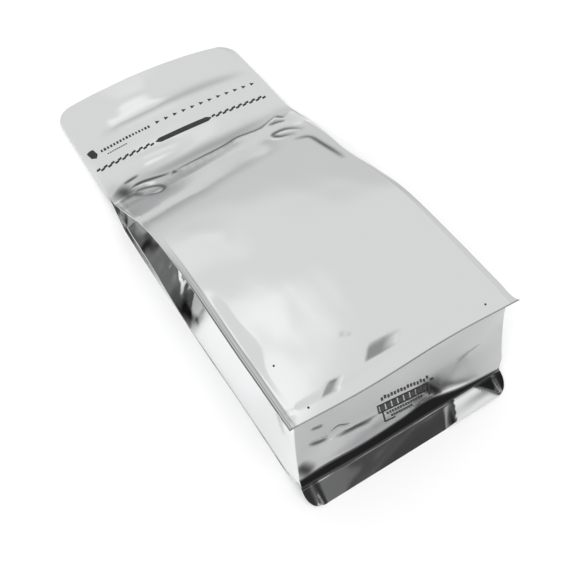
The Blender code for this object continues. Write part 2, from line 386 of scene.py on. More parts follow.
def column_shares():
    """Places across a panel from -1 to 1, as (share of the inner width, share of the side seal)."""
    outer = np.linspace(0.28, 1.0, FINE_COLUMNS + 1)
    middle = np.linspace(-0.28, 0.28, MIDDLE_COLUMNS + 1)[1:-1]
    inner = [(share, 0.0) for share in (*-outer[::-1], *middle, *outer)]
    seal = [1 - i / FIN_COLUMNS for i in range(FIN_COLUMNS)]
    return [(-1, s) for s in seal] + inner + [(1, s) for s in reversed(seal)]


SHARES = np.array(column_shares())
ROOT = FIN_COLUMNS


def across(half_width, seal=SIDE_FIN):
    """The x of every column, for an array of half widths and of widths of the side seal: rows by columns."""
    half_width = np.atleast_1d(half_width)[:, None]
    seal = np.atleast_1d(seal)[:, None]
    return SHARES[:, 0] * (half_width - seal + seal * SHARES[:, 1])


def back_seal(y):
    """The width of the side seal of the back panel, which is narrower near the bottom end."""
    wide = BACK_SIDE_FIN + (BACK_SIDE_FIN_UPPER - BACK_SIDE_FIN) * smooth(y, 0.095, 0.140)
    return wide + (SIDE_FIN - wide) * smooth(y, 0.160, FLAP_START)


def station_list():
    """Distances along the front panel of the rows of the mesh, from the bottom seal to the top edge."""
    seal = np.linspace(0.0, FRONT_FIN, SEAL_ROWS + 1)
    foot = np.linspace(FRONT_FIN, 0.024, 31)[1:]
    body = np.linspace(0.024, 0.116, 47)[1:]
    shoulder = np.linspace(0.116, 0.192, 137)[1:]
    flap = np.linspace(0.192, FRONT_LENGTH - TOP_CORNER_RADIUS, 39)[1:]
    turns = np.radians(np.linspace(0, 90, 11)[1:])
    arc = FRONT_LENGTH - TOP_CORNER_RADIUS * (1 - np.sin(turns))
    return np.concatenate([seal, foot, body, shoulder, flap, arc])


def back_station(y):
    """The row of the back panel that belongs to a row of the front: the bottom end leans outwards."""
    shift = FRONT_FIN + BACK_FIN_REACH - BACK_FIN
    return y - shift * np.maximum(0.0, 1 - (y - FRONT_FIN) / 0.060) ** 2


def front_sheet(stations):
    """The points of the front panel and the flap, and how much painted shade each has."""
    x = across(front_half_width(stations))
    y = np.repeat(stations[:, None], x.shape[1], 1)
    wave = 0.0006 * np.sin(x * 70) * (1 - smooth(y, 0.0, 0.020))
    open_side = 1 - smooth(y, 0.150, 0.180)
    droop = SIDE_FIN_DROOP * SHARES[:, 1] ** 2 * open_side
    column = np.round(SHARES[:, 1] * FIN_COLUMNS).astype(int)
    rib = SIDE_RIB * (column % 2) * (SHARES[:, 1] < 0.99) * open_side
    tip = FRONT_TIP * np.exp(-y / 0.0016) * (SHARES[:, 0] >= 1) * SHARES[:, 1]
    side = np.where(SHARES[:, 0] < -0.99, 1.0, np.where(SHARES[:, 0] > 0.99, 0.25, 0.0))
    # Painted shade along the ribs of the side seals, fading towards the flap
    lines = np.array(SEAL_LINES)[column] * (1 - smooth(y, 0.085, 0.125)) * side
    # Painted shade in the creases and along the painted shade strokes
    painted_shade = np.maximum(crease_strength(x, y)[1], painted_shade_strokes(x, y, PAINTED_SHADE_FRONT))
    # Painted dark reflection where the front slopes steeply, except on the left of the shoulder
    steep = (calm_height(x, y - 0.001) - calm_height(x, y)) / 0.001
    clear = smooth(y, 0.162, 0.172) * smooth(-x, -0.015, 0.0)
    painted_shade = np.maximum(painted_shade, 0.38 * smooth(steep, 0.39, 0.52) * (1 - clear))
    # Painted dark reflection in the dents
    for dent in DENTS:
        painted_shade = np.maximum(painted_shade, dent[7] * dent_share(x, y, dent))
    # Painted shadow along the edge of the bottom seal
    painted_shade = np.maximum(painted_shade, np.maximum(lines, 0.80 * (y < 0.0002)))
    return np.stack([x + tip, y + wave, front_height(x, y) - droop + rib], 2), painted_shade


def back_sheet(stations, columns):
    """The points of the back panel at some of the columns."""
    x = across(back_half_width(stations), back_seal(stations))[:, columns]
    y = np.repeat(stations[:, None], x.shape[1], 1)
    return np.stack([x, y, back_height(x, y)], 2)


def raised(points, by):
    """The same points, higher by a number or by one number each."""
    by = np.broadcast_to(np.asarray(by, float), points.shape[:-1])
    return points + by[..., None] * np.array([0.0, 0.0, 1.0])


def gusset_depth(y, height):
    """How far the middle of the side panel folds in, from the height that it has to span."""
    folded = math.sqrt(max(GUSSET_HALF**2 - (height / 2) ** 2, 0.0))
    opening = smooth(y, FRONT_FIN, GUSSET_GROWS_OVER)
    closing = 1 - smooth(y, 0.158, FLAP_START - 0.004)
    return min(folded, GUSSET_MOST) * float(opening * closing)


def gusset_row(inwards, y, top, bottom, end_curve):
    """One row of the side panel, from the front seal's root down to the back one's, and its painted shade."""
    depth = gusset_depth(y, top[2] - bottom[2])
    share = GUSSET_SHARES[:, None]
    fold = depth * (1 - np.sqrt((2 * share - 1) ** 2 + 0.002))
    fold = fold - fold[0]
    rough = smooth(y, 0.078, 0.100) * (1 - smooth(y, 0.165, 0.180))
    crumple = ridged(share * 3 + inwards * 7, y / 0.011 + share * 1.5, 17) - 0.5
    crumple = crumple + 0.8 * (ridged(share * 9 + y / 0.020, share * 2 + y / 0.0060, 18) - 0.5)
    fold = fold + 0.0026 * rough * crumple * np.sin(np.pi * share)
    # Painted shade in the crumpled middle of the gusset: along ridged lines, over its top end and in a patch
    # near its foot
    lines = ridged(share * 4 + inwards * 3, y / 0.016 + share * 2.2, 29)
    dark_foot = smooth(y, 0.084, 0.090) * (1 - smooth(y, 0.102, 0.110)) * smooth(share, 0.5, 0.7)
    painted_shade = rough * (0.06 + 0.50 * smooth(lines, 0.72, 0.98) + 0.50 * (smooth(y, 0.138, 0.152) + dark_foot))
    row = top + (bottom - top) * share + fold * np.array([inwards, 0.0, 0.0])
    return row + end_curve * (1 - smooth(y, FRONT_FIN, 0.026)), painted_shade[:, 0]


def end_in(side, share):
    """How far the side of the bag is drawn in at its bottom end, from the front seal down to the back one."""
    most = LEFT_END_IN if side < 0 else RIGHT_END_IN
    return most * smooth(share, 0.1, 0.75) * (1 - smooth(share, 0.86, 1.0))


def panel_reach(x, share, top, root_y, root_z):
    """The height and the Y of the bottom panel, and the height where it turns out to the seal below."""
    z = top + (root_z - top) * share
    start = through(RUN_OUT, x)
    start_y = root_y + start / RUN_OUT_SLOPE
    start_z = root_z + start
    curve = np.maximum(start_z + PANEL_CURVE - z, 0.0) / PANEL_CURVE
    straight = PANEL_IN - PANEL_LEAN * (top - z)
    foot = PANEL_IN - PANEL_LEAN * (top - start_z)
    upper = straight + (start_y - foot) * curve**2
    lower = start_y + (root_y - start_y) * (start_z - z) / start
    between = (upper + lower) / 2 - np.sqrt(((upper - lower) / 2) ** 2 + 0.0002**2)
    return z, np.where(z > root_z, between, root_y), start_z


def bottom_panel(front_root, back_root):
    """The rows of the bottom panel, from the front seal down to the back one, and how much painted shade each
    point has.
    """
    top = front_root[:, 2]
    rows = []
    painted_shade = []
    for share in GUSSET_SHARES:
        x = front_root[:, 0] + (back_root[:, 0] - front_root[:, 0]) * share
        z, y, start_z = panel_reach(x, share, top, back_root[:, 1], back_root[:, 2])
        drawn_in = np.where(x < 0, end_in(-1, share), -end_in(1, share))
        x = x + drawn_in * smooth(np.abs(x), 0.012, 0.0540)
        inside = math.sin(math.pi * share) if 0 < share < 1 else 0.0
        y = y + (front_root[:, 1] - y) * math.exp(-share / 0.016)
        y = y + 0.0003 * (noise(x / 0.019 + 5, z / 0.017, 33) - 0.5) * inside
        y = y + 0.0004 * painted_shade_strokes(x, z, PAINTED_SHADE_PANEL[:DENT_STROKES]) * inside
        rows.append(np.stack([x, y, z], 1))
        # Painted shade over the whole panel, uneven, and taken away along the painted highlight strokes
        shade = 0.45 + 0.16 * (noise(x / 0.020, z / 0.012 + 4, 41) - 0.5)
        shade = shade * (1 - painted_shade_strokes(x, z, PAINTED_HIGHLIGHTS_PANEL))
        # Painted dark reflection in a band where the panel turns out to the seal below, and painted shadow
        # just under the front seal
        band = 0.95 * smooth(start_z - z, -0.0012, 0.0002) * (1 - smooth(share, 0.985, 1.0))
        seal = 0.45 * math.exp(-((share / 0.012) ** 2))
        painted_shade.append(np.max([shade, band, painted_shade_strokes(x, z, PAINTED_SHADE_PANEL), np.full_like(x, seal)], axis=0))
    rows[0] = front_root
    rows[-1] = back_root
    return np.array(rows), np.array(painted_shade)


def flatter_place(share):
    """The x of both sides of the flatter place in the seal, at a share of the way up to the ridge."""
    return GAP_START + GAP_START_SLOPE * share, GAP_END - GAP_END_SLOPE * share


def fin_lift(x, share):
    """The height of the seal under the bottom panel as a share of the ridge, with its flatter place."""
    start, end = flatter_place(share)
    step = smooth(x, start - GAP_STEP[0], start - GAP_STEP[1])
    gap = 0.38 * step * (1 - smooth(x, end + 0.0008, end + 0.0040))
    streak = 0.05 * np.exp(-(((x + 0.031 - 0.028 * share) / 0.0070) ** 2))
    glint = 0.30 * np.exp(-(((np.abs(x) - 0.0515) / 0.0010) ** 2))
    lift = share + np.maximum(np.maximum(streak, gap), glint) * (1 - share)
    return np.minimum(lift + 0.02 * np.exp(-(((share - 0.965) / 0.02) ** 2)), 1.0)


def fin_shade(x, share):
    """How much painted dark reflection the seal under the bottom panel has: more in its middle and at both
    ends, less at a painted light patch.
    """
    start, end = flatter_place(share)
    flatter = smooth(x, start - GAP_STEP[0], start - GAP_STEP[1])
    middle = smooth(x, -0.026 + 0.022 * share, -0.012 + 0.022 * share) * (x < start)
    corner = np.where(x < 0, 0.0480, end + 0.0008)
    ends = smooth(np.abs(x), corner - 0.0006, corner + 0.0006)
    ends = ends * (1 - 0.75 * np.exp(-(((np.abs(x) - 0.0520) / 0.0009) ** 2)))
    patch = np.exp(-(((x + 0.0300 - 0.040 * share) / 0.0045) ** 2))
    # Painted dark reflection in the middle and corners of the seal, with a painted light patch
    whole = (0.13 * (1 - middle) + (0.36 + 0.59 * flatter) * middle) * (x < start) * (1 - 0.95 * patch)
    return np.maximum(whole, 0.85 * ends)


def fin_gaps():
    """Distances from the free edge of the seal under the bottom panel to its rows."""
    turns = np.radians(np.linspace(0, 90, 12))
    straight = np.linspace(BACK_FIN_CORNER, BACK_FIN, 9)[1:-1]
    return np.concatenate([BACK_FIN_CORNER * (1 - np.cos(turns)), straight])


def back_fin():
    """The lower points of the seal under the bottom panel, free edge first, and how much painted shade each
    has.
    """
    rows = []
    painted_shade = []
    for gap in fin_gaps():
        x = across(back_half_width(0.0) - corner_inset(gap, BACK_FIN_CORNER), BACK_SIDE_FIN)[0]
        share = gap / BACK_FIN
        wave = 0.0006 * (noise(x / 0.014 + 2, np.full_like(x, share), 12) - 0.5) * math.sin(math.pi * share)
        height = (ridge_height(x) - FILM) * fin_lift(x, share) + np.maximum(wave, -0.0003)
        rows.append(np.stack([x, np.full_like(x, gap - BACK_FIN_REACH), height], 1))
        painted_shade.append(fin_shade(x, share))
    return np.array(rows), np.array(painted_shade)


def side_band(side, stations, front, back, panel):
    """The rows round one long side, from the front's free edge to the back's, and their painted shade."""
    first, last = (0, ROOT) if side < 0 else (-1, -ROOT - 1)
    columns = list(range(first, last - side, -side))
    shut = int(np.argmax(stations > FLAP_START - 1e-9))
    count = 2 * len(columns) + GUSSET_STEPS - 1
    end = panel[:, first]
    end_curve = end - end[0] - (end[-1] - end[0]) * GUSSET_SHARES[:, None]
    band = []
    painted_shade = []
    for j in range(SEAL_ROWS, len(stations)):
        upper = front[j][columns]
        lower = back[j - SEAL_ROWS][columns]
        if j >= shut:
            middle = (upper[0] + lower[0]) / 2 if j == shut else upper[0]
            band.append(np.array([upper[0]] + [middle] * count + [lower[0]]))
            painted_shade.append(np.zeros(count + 2))
            continue
        film = min(FILM, 0.3 * float(upper[0][2] - lower[0][2]))
        under = raised(upper, -film)
        over = raised(lower, film)
        gusset, shade = gusset_row(-side, float(stations[j]), under[-1], over[-1], end_curve)
        band.append(np.concatenate([upper[:1], under, gusset[1:-1], over[::-1], lower[:1]]))
        painted_shade.append(np.concatenate([np.zeros(len(columns) + 1), shade[1:-1], np.zeros(len(columns) + 1)]))
    band[0][ROOT + 1:ROOT + 2 + GUSSET_STEPS] = end
    return np.array(band), np.array(painted_shade)


def weld(sheets, seams):
    """One mesh from grids of points with their painted shade and from seams between rows of unequal counts.
    """
    seam_rows = [row for seam in seams for row in seam]
    places = np.concatenate([points.reshape(-1, 3) for points, painted_shade in sheets] + seam_rows)
    shades = []
    for points, painted_shade in sheets:
        shades.append(np.broadcast_to(np.asarray(painted_shade, float), points.shape[:2]).reshape(-1))
    shades.append(np.zeros(sum(len(row) for row in seam_rows)))
    keys, first, index = np.unique(np.round(places * WELD_FINENESS).astype(np.int64), axis=0,
                                   return_index=True, return_inverse=True)
    index = index.reshape(-1)
    painted_shade_per_point = np.zeros(len(keys))
    np.maximum.at(painted_shade_per_point, index, np.concatenate(shades))
    faces = []
    start = 0
    for points, painted_shade in sheets:
        rows, columns = points.shape[:2]
        grid = index[start:start + rows * columns].reshape(rows, columns)
        start += rows * columns
        corners = np.stack([grid[:-1, :-1], grid[:-1, 1:], grid[1:, 1:], grid[1:, :-1]], 2).reshape(-1, 4)
        faces.extend(corners.tolist())
    for fine, coarse in seams:
        fine_index = index[start:start + len(fine)]
        coarse_index = index[start + len(fine):start + len(fine) + len(coarse)]
        start += len(fine) + len(coarse)
        faces.extend(seam_faces(fine, coarse, fine_index, coarse_index))
    kept = [list(dict.fromkeys(face)) for face in faces]
    points = places[first] - np.array([0.0, MIDDLE_Y, 0.0])
    mesh = bpy.data.meshes.new("film")
    mesh.from_pydata(points.tolist(), [], [face for face in kept if len(face) > 2])
    # Painted shade and painted dark reflections, kept as a point attribute that darkens the film's colour
    mesh.attributes.new("painted_shade", "FLOAT", "POINT").data.foreach_set("value", painted_shade_per_point)
    return mesh


def seam_faces(fine, coarse, fine_index, coarse_index):
    """Triangles between two rows that run from left to right with different counts of points."""
    faces = []
    i = 0
    j = 0
    while i < len(fine) - 1 or j < len(coarse) - 1:
        if j == len(coarse) - 1 or (i < len(fine) - 1 and fine[i + 1][0] <= coarse[j + 1][0]):
            faces.append([int(fine_index[i]), int(fine_index[i + 1]), int(coarse_index[j])])
            i += 1
        else:
            faces.append([int(fine_index[i]), int(coarse_index[j + 1]), int(coarse_index[j])])
            j += 1
    return faces


def finish_mesh(mesh, name, sharp_degrees):
    """Outward faces, smooth shading with the sharp edges kept, and an object that holds it."""
    work = bmesh.new()
    work.from_mesh(mesh)
    bmesh.ops.recalc_face_normals(work, faces=work.faces)
    for face in work.faces:
        face.smooth = True
    work.to_mesh(mesh)
    work.free()
    mesh.set_sharp_from_angle(angle=math.radians(sharp_degrees))
    mesh.name = name
    piece = bpy.data.objects.new(name, mesh)
    bpy.context.scene.collection.objects.link(piece)
    return piece


def make_bag_film():
    """The whole closed skin of the bag."""
    stations = station_list()
    last = len(SHARES) - 1
    every = list(range(last + 1))
    middle = every[ROOT + BACK_COLUMN_STEP:last - ROOT:BACK_COLUMN_STEP]
    coarse = every[:ROOT + 1] + middle + every[last - ROOT:]
    front, front_painted_shade = front_sheet(stations)
    back_stations = back_station(stations[SEAL_ROWS:])
    back = back_sheet(back_stations, coarse)
    back_edge = back_sheet(back_stations[:1], every)[0]
    fin_lower, fin_painted_shade = back_fin()
    fin_upper = raised(fin_lower, FILM)
    front_under = raised(front[:SEAL_ROWS + 1], -FILM)
    back_root = raised(back_edge, FILM)
    inner = slice(ROOT, last - ROOT + 1)
    panel, panel_painted_shade = bottom_panel(front_under[-1][inner], back_root[inner])
    left, left_painted_shade = side_band(-1, stations, front, back, panel)
    right, right_painted_shade = side_band(1, stations, front, back, panel)
    lower_painted_shade = np.concatenate([fin_painted_shade, fin_painted_shade[-1:]])
    # The strip at the front seal's edge gets a painted shadow of 0.8; the other sheets carry the painted
    # shade worked out above
    sheets = [(front, front_painted_shade), (np.concatenate([fin_lower, back_edge[None]]), 0), (back[1:], 0),
              (left, left_painted_shade), (right, right_painted_shade), (panel, panel_painted_shade),
              (np.array([fin_upper[0], fin_lower[0]]), 0),
              (np.array([front[0], front_under[0]]), 0.8), (front_under, 0),
              (np.concatenate([fin_upper, back_root[None]]), lower_painted_shade)]
    for column in (0, last):
        sheets.append((np.stack([front[:SEAL_ROWS + 1, column], front_under[:, column]], 1), 0))
        sheets.append((np.stack([np.concatenate([fin_upper[:, column], back_root[None, column]]),
                                 np.concatenate([fin_lower[:, column], back_edge[None, column]])], 1), 0))
    seams = [(back_edge, back[1]), (front[-1], back[-1])]
    return finish_mesh(weld(sheets, seams), "bag_film", 50)


def flat_mark(name, stations, rows=1, axes=((1, 0, 0), (0, 1, 0))):
    """A flat printed shape from (along, low, high) stations, on two axes."""
    along_axis, up_axis = (Vector(axis) for axis in axes)
    points = []
    for along, low, high in stations:
        for step in range(rows + 1):
            points.append(along_axis * float(along) + up_axis * float(low + (high - low) * step / rows))
    faces = []
    for i in range(len(stations) - 1):
        for j in range(rows):
            a = i * (rows + 1) + j
            faces.append((a, a + rows + 1, a + rows + 2, a + 1))
    mesh = bpy.data.meshes.new(name)
    mesh.from_pydata([tuple(point) for point in points], [], faces)
    mark = bpy.data.objects.new(name, mesh)
    bpy.context.scene.collection.objects.link(mark)
    return mark


def link_nodes(tree, pairs):
    """Links a list of (output socket, input socket)."""
    for output, target in pairs:
        tree.links.new(output, target)


def printed_row_tree():
    """Nodes that repeat a flat mark along a step and lay every copy of it on the film."""
    tree = bpy.data.node_groups.new("printed_row", "GeometryNodeTree")
    for name, kind in (("Mark", "Geometry"), ("Count", "Int"), ("Start", "Vector"), ("Step", "Vector"),
                       ("Towards film", "Vector"), ("Lift", "Float"), ("Least size", "Float"),
                       ("Most size", "Float"), ("Film", "Object"), ("Ink", "Material")):
        tree.interface.new_socket(name, in_out="INPUT", socket_type="NodeSocket" + kind)
    tree.interface.new_socket("Print", in_out="OUTPUT", socket_type="NodeSocketGeometry")
    source = tree.nodes.new("NodeGroupInput").outputs
    line = tree.nodes.new("GeometryNodeMeshLine")
    size = tree.nodes.new("FunctionNodeRandomValue")
    size.inputs["Seed"].default_value = 5
    copies = tree.nodes.new("GeometryNodeInstanceOnPoints")
    real = tree.nodes.new("GeometryNodeRealizeInstances")
    place = tree.nodes.new("GeometryNodeInputPosition")
    away = tree.nodes.new("ShaderNodeVectorMath")
    away.operation = "MULTIPLY_ADD"
    away.inputs[1].default_value = (-RAY_START, -RAY_START, -RAY_START)
    film = tree.nodes.new("GeometryNodeObjectInfo")
    cast = tree.nodes.new("GeometryNodeRaycast")
    cast.inputs["Ray Length"].default_value = RAY_LENGTH
    back_off = tree.nodes.new("ShaderNodeMath")
    back_off.operation = "MULTIPLY"
    back_off.inputs[1].default_value = -1.0
    lift = tree.nodes.new("ShaderNodeVectorMath")
    lift.operation = "SCALE"
    lifted = tree.nodes.new("ShaderNodeVectorMath")
    lifted.operation = "ADD"
    moved = tree.nodes.new("GeometryNodeSetPosition")
    again = tree.nodes.new("GeometryNodeRealizeInstances")
    inked = tree.nodes.new("GeometryNodeSetMaterial")
    result = tree.nodes.new("NodeGroupOutput")
    link_nodes(tree, [
        (source["Count"], line.inputs["Count"]),
        (source["Start"], line.inputs["Start Location"]),
        (source["Step"], line.inputs["Offset"]),
        (source["Least size"], size.inputs[2]),
        (source["Most size"], size.inputs[3]),
        (line.outputs["Mesh"], copies.inputs["Points"]),
        (source["Mark"], copies.inputs["Instance"]),
        (size.outputs[1], copies.inputs["Scale"]),
        (copies.outputs["Instances"], real.inputs["Geometry"]),
        (source["Towards film"], away.inputs[0]),
        (place.outputs["Position"], away.inputs[2]),
        (source["Film"], film.inputs["Object"]),
        (film.outputs["Geometry"], cast.inputs["Target Geometry"]),
        (away.outputs[0], cast.inputs["Source Position"]),
        (source["Towards film"], cast.inputs["Ray Direction"]),
        (source["Lift"], back_off.inputs[0]),
        (source["Towards film"], lift.inputs[0]),
        (back_off.outputs[0], lift.inputs["Scale"]),
        (cast.outputs["Hit Position"], lifted.inputs[0]),
        (lift.outputs[0], lifted.inputs[1]),
        (real.outputs["Geometry"], moved.inputs["Geometry"]),
        (lifted.outputs[0], moved.inputs["Position"]),
        (moved.outputs["Geometry"], again.inputs["Geometry"]),
        (again.outputs["Geometry"], inked.inputs["Geometry"]),
        (source["Ink"], inked.inputs["Material"]),
        (inked.outputs["Geometry"], result.inputs["Print"]),
    ])
    return tree


def lay_row(tree, film, ink, mark, start, step=(0, 0, 0), count=1, towards=(0, 0, -1), sizes=(1.0, 1.0),
            lift=INK_LIFT):
    """The plain mesh of one row of marks on the film."""
    values = {"Count": count, "Start": start, "Step": step, "Towards film": towards, "Lift": lift,
              "Least size": sizes[0], "Most size": sizes[1], "Film": film, "Ink": ink}
    modifier = mark.modifiers.new("row", "NODES")
    modifier.node_group = tree
    for item in tree.interface.items_tree:
        if item.name in values:
            modifier[item.identifier] = values[item.name]
    graph = bpy.context.evaluated_depsgraph_get()
    baked = bpy.data.meshes.new_from_object(mark.evaluated_get(graph), depsgraph=graph)
    bpy.data.objects.remove(mark)
    return baked


def join_print(name, meshes, ink):
    """One thin closed piece from the rows of a print."""
    work = bmesh.new()
    for mesh in meshes:
        work.from_mesh(mesh)
    bmesh.ops.solidify(work, geom=work.faces[:], thickness=-INK_LIFT)
    joined = bpy.data.meshes.new(name)
    work.to_mesh(joined)
    work.free()
    joined.materials.clear()
    joined.materials.append(ink)
    return finish_mesh(joined, name, 40)


def on_front(x, y):
    """A place on the plan of the bag, in the frame of the part."""
    return (x, y - MIDDLE_Y, 0.03)


def tear_line(lay):
    """The rope of two rows of dashes, left and right of the pointed field."""
    dash = ((-0.0012, -0.0010, 0.0004), (0.0012, -0.0004, 0.0010))
    for start_x, end_x in ((-0.0548, -0.0212), (0.0180, 0.0520)):
        count = int((end_x - start_x) / ROPE_STEP) + 1
        for shift_x, shift_y in ((0.0, 0.0006), (ROPE_STEP / 2, -0.0006)):
            y = TEAR_ROW_Y + 0.0006 - 0.020 * (start_x + 0.0558) + shift_y
            lay("dash", dash, (start_x + shift_x, y), (ROPE_STEP, -0.00009, 0), count)


def pointed_field():
    """The stations of the long dark bar with pointed ends."""
    field = []
    for x in np.linspace(-0.0180, 0.0180, 37):
        half = 0.0018 * min(1.0, (0.0180 - abs(x)) / 0.0028)
        field.append((float(x), -half - 0.022 * float(x), half - 0.022 * float(x)))
    return field


def make_flap_print(tree, film, ink):
    """The tear line with its pointed field, the row of arrows, the rows of ticks and the tag."""
    rows = []

    def lay(name, stations, place, step=(0, 0, 0), count=1, sizes=(1.0, 1.0), **shape):
        mark = flat_mark(name, stations, **shape)
        rows.append(lay_row(tree, film, ink, mark, on_front(*place), step, count, sizes=sizes))

    tear_line(lay)
    lay("field", pointed_field(), (-0.0015, 0.2035), rows=4)
    arrow = ((-0.0012, -0.0012, 0.0012), (0.0013, 0.0, 0.0))
    step = [(end - start) / (ARROW_COUNT - 1) for start, end in zip(ARROW_START, ARROW_END)]
    lay("arrow", arrow, ARROW_START, (*step, 0), ARROW_COUNT)
    tick = ((-0.0006, -0.0009, 0.0009), (0.0006, -0.0009, 0.0009))
    lay("tick", tick, TICK_START, (TICK_STEP, 0, 0), TICK_COUNT, sizes=(0.75, 1.1))
    small = ((-0.0005, -0.0003, 0.0003), (0.0005, -0.0003, 0.0003))
    lay("small_tick", small, (-0.0450, 0.2128), (0.0014, 0, 0), 9)
    tag = ((-0.0022, -0.0016, 0.0030), (-0.0011, -0.0026, 0.0034), (0.0, -0.0036, 0.0036),
           (0.0011, -0.0026, 0.0034), (0.0022, -0.0016, 0.0030))
    lay("tag", tag, TAG_PLACE, rows=3, axes=TAG_AXES)
    return join_print("flap_print", rows, ink)


def make_panel_print(tree, film, ink):
    """A plain frame with rows of short bars on the bottom panel."""
    rows = []
    axes = ((STAMP_ALONG[0], 0, STAMP_ALONG[1]), (STAMP_UP[0], 0, STAMP_UP[1]))
    middle = Vector((STAMP_CENTRE[0], -0.06 - MIDDLE_Y, STAMP_CENTRE[1]))

    def lay(half_width, low, high, along, count=1, step=0.0, sizes=(1.0, 1.0)):
        columns = max(1, round(half_width / 0.0005))
        bar = [(x, low, high) for x in np.linspace(-half_width, half_width, columns + 1).tolist()]
        mark = flat_mark("bar", bar, rows=max(1, round((high - low) / 0.0010)), axes=axes)
        start = tuple(middle + along * Vector(axes[0]))
        way = tuple(step * Vector(axes[0]))
        rows.append(lay_row(tree, film, ink, mark, start, way, count, (0, 1, 0), sizes, PANEL_INK_LIFT))

    for low in (0.0074, 0.0006):
        lay(0.0142, low, low + 0.0007, 0.0)
    uprights = ((-0.0142, 0.0006, 0.0081), (0.0142, -0.0044, 0.0081), (-0.0123, -0.0086, 0.0000))
    for along, low, high in uprights:
        lay(0.0004, low, high, along)
    lay(0.0030, -0.0088, -0.0082, -0.0095)
    lay(0.0013, 0.0018, 0.0070, -0.0119, 8, 0.0034)
    lay(0.0006, 0.0122, 0.0150, -0.0112, 15, 0.0018, (0.85, 1.0))
    lay(0.0005, -0.0030, -0.0012, -0.0100, 14, 0.0015)
    lay(0.0005, -0.0066, -0.0050, -0.0080, 9, 0.0014)
    lay(0.0010, 0.0085, 0.0105, 0.0164)
    return join_print("panel_print", rows, ink)


def make_tack_dots(tree, film, ink):
    """The three small round marks of the seals' tacks."""
    radius = 0.0005
    stations = []
    for step in range(9):
        x = -radius * math.cos(math.pi * step / 8)
        half = math.sqrt(max(radius**2 - x**2, 0.0))
        stations.append((x, -half, half))
    rows = [lay_row(tree, film, ink, flat_mark("dot", stations, rows=2), on_front(*dot)) for dot in DOTS]
    return join_print("tack_dots", rows, ink)


def new_material(name, color, metallic, roughness):
    """A material with its node tree and its shader node."""
    material = bpy.data.materials.new(name)
    material.use_nodes = True
    shader = material.node_tree.nodes["Principled BSDF"]
    shader.inputs["Base Color"].default_value = (*color, 1)
    shader.inputs["Metallic"].default_value = metallic
    shader.inputs["Roughness"].default_value = roughness
    return material, material.node_tree, shader


def add_noise(tree, scale, detail):
    """A noise texture on object coordinates."""
    place = tree.nodes.new("ShaderNodeTexCoord")
    noise = tree.nodes.new("ShaderNodeTexNoise")
    noise.inputs["Scale"].default_value = scale
    noise.inputs["Detail"].default_value = detail
    tree.links.new(place.outputs["Object"], noise.inputs["Vector"])
    return noise


def mixed_color(tree, factor, first, second):
    """A colour between two, by a factor from another node."""
    tint = tree.nodes.new("ShaderNodeMix")
    tint.data_type = "RGBA"
    tint.inputs["A"].default_value = (*first, 1)
    tint.inputs["B"].default_value = (*second, 1)
    tree.links.new(factor, tint.inputs["Factor"])
    return tint.outputs["Result"]


def metallised_film():
    """Bright film, a little uneven in gloss, with the slack waves that thin film has, darkened by painted
    shade and painted dark reflections.
    """
    material, tree, shader = new_material("metallised_film", FILM_COLOR, 1.0, 0.14)
    haze = add_noise(tree, 60, 3)
    spread = tree.nodes.new("ShaderNodeMapRange")
    spread.inputs["To Min"].default_value = 0.09
    spread.inputs["To Max"].default_value = 0.18
    tree.links.new(haze.outputs["Fac"], spread.inputs["Value"])
    tree.links.new(spread.outputs["Result"], shader.inputs["Roughness"])
    slack = add_noise(tree, 45, 1.5)
    bump = tree.nodes.new("ShaderNodeBump")
    bump.inputs["Strength"].default_value = 0.25
    bump.inputs["Distance"].default_value = 0.0006
    tree.links.new(slack.outputs["Fac"], bump.inputs["Height"])
    tree.links.new(bump.outputs["Normal"], shader.inputs["Normal"])
    # Painted shade: the attribute blends the film's colour towards a dark one
    painted_shade = tree.nodes.new("ShaderNodeAttribute")
    painted_shade.attribute_name = "painted_shade"
    tint = mixed_color(tree, painted_shade.outputs["Fac"], FILM_COLOR, PAINTED_SHADE_COLOR)
    tree.links.new(tint, shader.inputs["Base Color"])
    return material


def black_ink():
    """Thin print on film: near black, worn a little lighter in places."""
    material, tree, shader = new_material("black_ink", INK_COLOR, 0.0, 0.38)
    shader.inputs["Specular IOR Level"].default_value = 0.30
    wear = add_noise(tree, 900, 3)
    tint = mixed_color(tree, wear.outputs["Fac"], DARK_INK_COLOR, WORN_INK_COLOR)
    tree.links.new(tint, shader.inputs["Base Color"])
    return material


def make_floor():
    """A wide pale floor."""
    mesh = bpy.data.meshes.new("floor")
    half = 2.5
    corners = [(-half, -half, 0), (half, -half, 0), (half, half, 0), (-half, half, 0)]
    mesh.from_pydata(corners, [], [(0, 1, 2, 3)])
    floor = bpy.data.objects.new("floor", mesh)
    bpy.context.scene.collection.objects.link(floor)
    mesh.materials.append(new_material("pale_floor", (0.93, 0.93, 0.93), 0.0, 0.9)[0])


def math_node(tree, operation, *values):
    """The result of a sum on numbers and sockets."""
    node = tree.nodes.new("ShaderNodeMath")
    node.operation = operation
    for socket, value in zip(node.inputs, values):
        if isinstance(value, (int, float)):
            socket.default_value = value
        else:
            tree.links.new(value, socket)
    return node.outputs[0]


def both(tree, first, second):
    """The product of two numbers or sockets."""
    return math_node(tree, "MULTIPLY", first, second)


def map_range(tree, value, from_min, from_max, to_min=0.0, to_max=1.0):
    """A soft step from one number to another."""
    node = tree.nodes.new("ShaderNodeMapRange")
    node.interpolation_type = "SMOOTHSTEP"
    numbers = {"From Min": from_min, "From Max": from_max, "To Min": to_min, "To Max": to_max}
    for name, number in numbers.items():
        node.inputs[name].default_value = number
    tree.links.new(value, node.inputs["Value"])
    return node.outputs["Result"]


def between(tree, value, rise, fall):
    """One between a soft rise and a soft fall, and zero outside them."""
    return both(tree, map_range(tree, value, *rise), map_range(tree, value, *fall, 1.0, 0.0))


